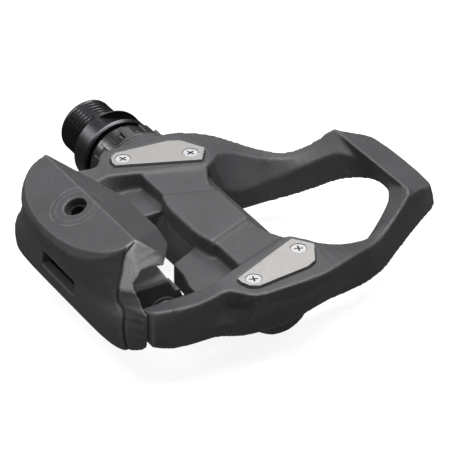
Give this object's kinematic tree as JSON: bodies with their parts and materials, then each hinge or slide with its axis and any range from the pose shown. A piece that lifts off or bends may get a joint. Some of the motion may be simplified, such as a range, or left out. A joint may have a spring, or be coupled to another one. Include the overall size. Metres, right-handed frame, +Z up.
{
  "type": "clipless pedal",
  "caption": "Road clipless pedal: spindle with crank thread, moulded body with toe loop and wear plates, and a sprung rear claw that clamps a three-bolt cleat.",
  "frame": {"origin": "on the spindle axis, where the spindle's collar seats on the crank arm", "axes": "+X to the toe, +Y inboard along the spindle's thread, +Z up, out of the cleat bed"},
  "size_m": [0.0958, 0.0998, 0.0357],
  "materials": {
    "black_steel": "black oxide over forged steel, low sheen",
    "bearing_steel": "ground bearing steel",
    "zinc_steel": "bright zinc plating",
    "body_nylon": "glass-filled nylon with a fine moulded grain",
    "claw_nylon": "glass-filled nylon with a fine moulded grain",
    "black_nylon": "smooth moulded nylon",
    "seal_rubber": "matte",
    "stainless_plate": "bead-blasted stainless steel",
    "zinc_screw": "bright zinc plating",
    "spring_steel": "oiled spring wire",
    "bush_plastic": "acetal",
    "brass_plate": "plain"
  },
  "bodies": {
    "spindle": {"spindle": "black_steel", "outboard_cone": "bearing_steel", "tongued_washer": "bearing_steel", "spindle_lock_nut": "zinc_steel"},
    "inboard_ball_set": {"inboard_balls": "bearing_steel"},
    "outboard_ball_set": {"outboard_balls": "bearing_steel"},
    "pedal_body": {"pedal_body": "body_nylon", "lock_bolt": "black_nylon", "lock_bolt_seal": "seal_rubber", "dust_seal": "seal_rubber", "inboard_cup": "bearing_steel", "outboard_cup": "bearing_steel", "bearing_sleeve": "bearing_steel", "inboard_wear_plate": "stainless_plate", "outboard_wear_plate": "stainless_plate", "wear_plate_screws": "zinc_screw", "claw_pivot_pin": "zinc_steel", "pin_retaining_rings": "zinc_steel", "spring_mandrel": "black_nylon", "inboard_spring": "spring_steel", "outboard_spring": "spring_steel"},
    "rear_claw": {"rear_claw": "claw_nylon", "claw_bushes": "bush_plastic", "thrust_washer": "zinc_steel"},
    "tension_bolt": {"tension_bolt": "black_steel", "bolt_retaining_ring": "zinc_steel"},
    "tension_plate": {"tension_plate": "brass_plate"}
  },
  "joints": [
    {"name": "pedal_spin", "type": "hinge", "parent": "spindle", "child": "pedal_body", "pos_m": [0, -0.053, 0], "axis": [0, 1, 0], "continuous": true},
    {"name": "inboard_balls_orbit", "type": "hinge", "parent": "spindle", "child": "inboard_ball_set", "pos_m": [0, -0.0261, 0], "axis": [0, 1, 0], "continuous": true},
    {"name": "outboard_balls_orbit", "type": "hinge", "parent": "spindle", "child": "outboard_ball_set", "pos_m": [0, -0.0663, 0], "axis": [0, 1, 0], "continuous": true},
    {"name": "claw_pivot", "type": "hinge", "parent": "pedal_body", "child": "rear_claw", "pos_m": [-0.027, -0.053, 0.0035], "axis": [0, -1, 0], "range_deg": [0, 20], "stiffness_Nm_per_rad": 2, "springref_deg": -22.92, "deforming": ["inboard_spring", "outboard_spring"]},
    {"name": "tension_bolt_turn", "type": "hinge", "parent": "rear_claw", "child": "tension_bolt", "pos_m": [-0.0372, -0.053, 0.0231], "axis": [0.3633, 0, -0.9317], "range_deg": [-750, 1470]},
    {"name": "tension_plate_slide", "type": "slide", "parent": "rear_claw", "child": "tension_plate", "axis": [-0.3633, 0, 0.9317], "range_m": [-0.0014, 0.0028]}
  ],
  "couplings": [
    {"joint": "inboard_balls_orbit", "follows": "pedal_spin", "ratio": 0.6},
    {"joint": "outboard_balls_orbit", "follows": "pedal_spin", "ratio": 0.6},
    {"joint": "tension_bolt_turn", "follows": "tension_plate_slide", "rad_per_m": 8976}
  ]
}
